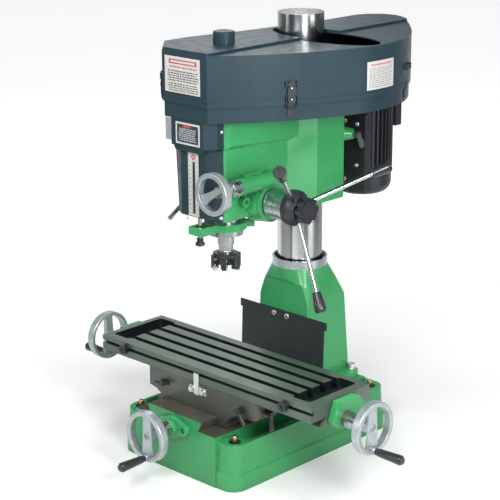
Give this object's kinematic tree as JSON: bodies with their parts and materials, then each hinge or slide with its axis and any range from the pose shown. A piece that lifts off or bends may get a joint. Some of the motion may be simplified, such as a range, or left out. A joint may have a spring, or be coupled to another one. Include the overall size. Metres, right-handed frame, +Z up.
{
  "type": "bench milling machine",
  "caption": "Round-column bench mill-drill with T-slot table on cross slides, belt-driven spindle head, lever and fine quill feeds and a face mill.",
  "frame": {"origin": "middle of the base casting's underside, on the bench", "axes": "+X to the operator's right along the table, +Y from the operator towards the column, +Z up"},
  "size_m": [1.093, 0.989, 1.0828],
  "materials": {
    "green_enamel": "gloss enamel on cast iron",
    "guard_enamel": "satin enamel",
    "ground_steel": "ground and oiled",
    "ground_iron": "ground, slightly oiled",
    "cast_aluminium": "tumbled casting",
    "black_oxide": "black oxide",
    "black_plastic": "moulded",
    "black_cast": "satin black",
    "bright_steel": "plated",
    "black_rubber": "matte"
  },
  "bodies": {
    "frame": {"base_casting": "green_enamel", "anchor_bolts": "black_oxide", "pedestal": "green_enamel", "pedestal_bolts": "bright_steel", "column": "ground_steel", "column_ring": "ground_steel", "chip_guard": "black_rubber", "y_screw_bracket": "green_enamel"},
    "cross_screw": {"y_leadscrew": "ground_steel", "y_handwheel": "cast_aluminium"},
    "cross_grip": {"y_grip": "black_plastic"},
    "saddle": {"saddle": "ground_iron", "centre_stop": "bright_steel"},
    "table_lock_left": {"table_lock_left": "black_oxide"},
    "table_lock_right": {"table_lock_right": "black_oxide"},
    "saddle_lock": {"saddle_lock": "black_oxide"},
    "table": {"table": "ground_iron", "table_brackets": "green_enamel"},
    "table_stop_left": {"table_stop_left": "black_oxide"},
    "table_stop_right": {"table_stop_right": "black_oxide"},
    "table_screw": {"x_leadscrew": "ground_steel", "x_handwheels": "cast_aluminium"},
    "table_grip_right": {"x_grip_right": "black_plastic"},
    "table_grip_left": {"x_grip_left": "black_plastic"},
    "rack": {"column_rack": "ground_steel"},
    "head": {"head_casting": "green_enamel", "front_cover": "guard_enamel", "switch_box": "bright_steel", "belt_pan": "guard_enamel", "belts": "black_rubber"},
    "crank": {"elevating_crank": "black_oxide"},
    "quill_lock": {"quill_lock": "bright_steel"},
    "tension_lever": {"tension_lever": "black_oxide"},
    "quill": {"quill": "ground_steel", "depth_stop_bracket": "green_enamel", "depth_stop_rod": "bright_steel"},
    "depth_stop_knob": {"depth_stop_knob": "black_oxide"},
    "spindle": {"spindle": "bright_steel", "drawbar": "black_oxide", "face_mill": "black_oxide"},
    "spindle_pulley": {"spindle_pulley": "cast_aluminium"},
    "idler_arm": {"idler_arm": "ground_steel"},
    "idler_pulley": {"idler_pulley": "cast_aluminium"},
    "feed_shaft": {"pinion_shaft": "bright_steel", "feed_hub": "black_cast", "feed_levers": "bright_steel", "feed_grips": "black_plastic"},
    "star_knob": {"star_knob": "black_plastic"},
    "fine_feed": {"fine_feed_worm": "ground_steel", "fine_feed_wheel": "cast_aluminium"},
    "motor_carriage": {"motor_plate": "black_cast", "motor": "black_cast", "motor_fan_cover": "black_cast", "motor_terminal_box": "black_cast"},
    "motor_rotor": {"motor_rotor": "cast_aluminium"},
    "lid": {"belt_lid": "guard_enamel", "drawbar_cap": "black_plastic"},
    "latch_right": {"latch_right": "black_oxide"},
    "latch_rear": {"latch_rear": "black_oxide"},
    "latch_left": {"latch_left": "black_oxide"}
  },
  "joints": [
    {"name": "saddle_travel", "type": "slide", "parent": "frame", "child": "saddle", "axis": [0, 1, 0], "range_m": [-0.05, 0.12]},
    {"name": "cross_screw_turn", "type": "hinge", "parent": "frame", "child": "cross_screw", "pos_m": [0, -0.381, 0.122], "axis": [0, 1, 0], "range_deg": [-7087.32, 17009.58]},
    {"name": "cross_grip_spin", "type": "hinge", "parent": "cross_screw", "child": "cross_grip", "pos_m": [0, -0.43, 0.0675], "axis": [0, 1, 0], "continuous": true},
    {"name": "table_travel", "type": "slide", "parent": "saddle", "child": "table", "axis": [1, 0, 0], "range_m": [-0.17, 0.17]},
    {"name": "table_screw_turn", "type": "hinge", "parent": "table", "child": "table_screw", "pos_m": [0, -0.137, 0.213], "axis": [1, 0, 0], "range_deg": [-24096.9, 24096.9]},
    {"name": "table_grip_right_spin", "type": "hinge", "parent": "table_screw", "child": "table_grip_right", "pos_m": [0.54, -0.137, 0.1585], "axis": [1, 0, 0], "continuous": true},
    {"name": "table_grip_left_spin", "type": "hinge", "parent": "table_screw", "child": "table_grip_left", "pos_m": [-0.47, -0.137, 0.1585], "axis": [1, 0, 0], "continuous": true},
    {"name": "table_lock_left_turn", "type": "hinge", "parent": "saddle", "child": "table_lock_left", "pos_m": [-0.09, -0.2363, 0.196], "axis": [0, 1, 0], "range_deg": [-90, 90]},
    {"name": "table_lock_right_turn", "type": "hinge", "parent": "saddle", "child": "table_lock_right", "pos_m": [0.176, -0.2363, 0.196], "axis": [0, 1, 0], "range_deg": [-60, 60]},
    {"name": "saddle_lock_turn", "type": "hinge", "parent": "saddle", "child": "saddle_lock", "pos_m": [0.2188, -0.196, 0.19], "axis": [1, 0, 0], "range_deg": [-40, 60]},
    {"name": "left_stop_slide", "type": "slide", "parent": "table", "child": "table_stop_left", "axis": [1, 0, 0], "range_m": [-0.07, 0.04]},
    {"name": "right_stop_slide", "type": "slide", "parent": "table", "child": "table_stop_right", "axis": [1, 0, 0], "range_m": [-0.07, 0.06]},
    {"name": "head_swing", "type": "hinge", "parent": "frame", "child": "rack", "pos_m": [0, 0.16, 0.76], "axis": [0, 0, 1], "range_deg": [-90, 90]},
    {"name": "head_lift", "type": "slide", "parent": "rack", "child": "head", "axis": [0, 0, 1], "range_m": [-0.08, 0.13]},
    {"name": "crank_turn", "type": "hinge", "parent": "head", "child": "crank", "pos_m": [-0.128, 0.243, 0.745], "axis": [1, 0, 0], "range_deg": [-352.62, 573.01]},
    {"name": "quill_lock_turn", "type": "hinge", "parent": "head", "child": "quill_lock", "pos_m": [-0.09, -0.146, 0.652], "axis": [1, 0, 0], "range_deg": [-30, 45]},
    {"name": "tension_lever_turn", "type": "hinge", "parent": "head", "child": "tension_lever", "pos_m": [0.096, 0.262, 0.771], "axis": [1, 0, 0], "range_deg": [-90, 90]},
    {"name": "quill_feed", "type": "slide", "parent": "head", "child": "quill", "axis": [0, 0, -1], "range_m": [0, 0.127]},
    {"name": "feed_turn", "type": "hinge", "parent": "head", "child": "feed_shaft", "pos_m": [0.184, -0.059, 0.659], "axis": [1, 0, 0], "range_deg": [0, 582.12]},
    {"name": "star_knob_turn", "type": "hinge", "parent": "feed_shaft", "child": "star_knob", "pos_m": [0.22, -0.059, 0.659], "axis": [1, 0, 0], "range_deg": [0, 360]},
    {"name": "fine_feed_turn", "type": "hinge", "parent": "head", "child": "fine_feed", "pos_m": [0.095, -0.243, 0.712], "axis": [0, 1, 0], "continuous": true},
    {"name": "depth_stop_knob_turn", "type": "hinge", "parent": "quill", "child": "depth_stop_knob", "pos_m": [0, -0.196, 0.57], "axis": [0, 0, 1], "continuous": true},
    {"name": "spindle_spin", "type": "hinge", "parent": "quill", "child": "spindle", "pos_m": [0, -0.109, 0.56], "axis": [0, 0, 1], "continuous": true},
    {"name": "spindle_pulley_spin", "type": "hinge", "parent": "head", "child": "spindle_pulley", "pos_m": [0, -0.109, 0.93], "axis": [0, 0, 1], "continuous": true},
    {"name": "idler_arm_swing", "type": "hinge", "parent": "head", "child": "idler_arm", "pos_m": [0.167, 0.1, 0.88], "axis": [0, 0, 1], "range_deg": [-2, 2]},
    {"name": "idler_spin", "type": "hinge", "parent": "idler_arm", "child": "idler_pulley", "pos_m": [0.165, 0.14, 0.93], "axis": [0, 0, 1], "continuous": true},
    {"name": "motor_tension", "type": "slide", "parent": "head", "child": "motor_carriage", "axis": [0, 1, 0], "range_m": [-0.006, 0.002]},
    {"name": "motor_spin", "type": "hinge", "parent": "motor_carriage", "child": "motor_rotor", "pos_m": [0, 0.402, 0.93], "axis": [0, 0, 1], "continuous": true},
    {"name": "lid_lift", "type": "slide", "parent": "head", "child": "lid", "axis": [0, 0, 1], "range_m": [0, 0.15]},
    {"name": "latch_right_turn", "type": "hinge", "parent": "lid", "child": "latch_right", "pos_m": [0.19146, -0.08164, 0.96], "axis": [-0.475, -0.88, 0], "range_deg": [0, 110]},
    {"name": "latch_rear_turn", "type": "hinge", "parent": "lid", "child": "latch_rear", "pos_m": [0.2415, 0.28375, 0.96], "axis": [0.4121, -0.9112, 0], "range_deg": [0, 110]},
    {"name": "latch_left_turn", "type": "hinge", "parent": "lid", "child": "latch_left", "pos_m": [-0.11974, -0.19913, 0.96], "axis": [-0.695, 0.719, 0], "range_deg": [0, 110]}
  ],
  "couplings": [
    {"joint": "cross_screw_turn", "follows": "saddle_travel", "rad_per_m": 2473.7},
    {"joint": "table_screw_turn", "follows": "table_travel", "rad_per_m": 2473.7},
    {"joint": "crank_turn", "follows": "head_lift", "rad_per_m": 76.923},
    {"joint": "quill_feed", "follows": "feed_turn", "m_per_rad": 0.0125},
    {"joint": "idler_spin", "follows": "motor_spin", "ratio": 0.83871},
    {"joint": "spindle_pulley_spin", "follows": "motor_spin", "ratio": 0.70343},
    {"joint": "spindle_spin", "follows": "motor_spin", "ratio": 0.70343}
  ]
}
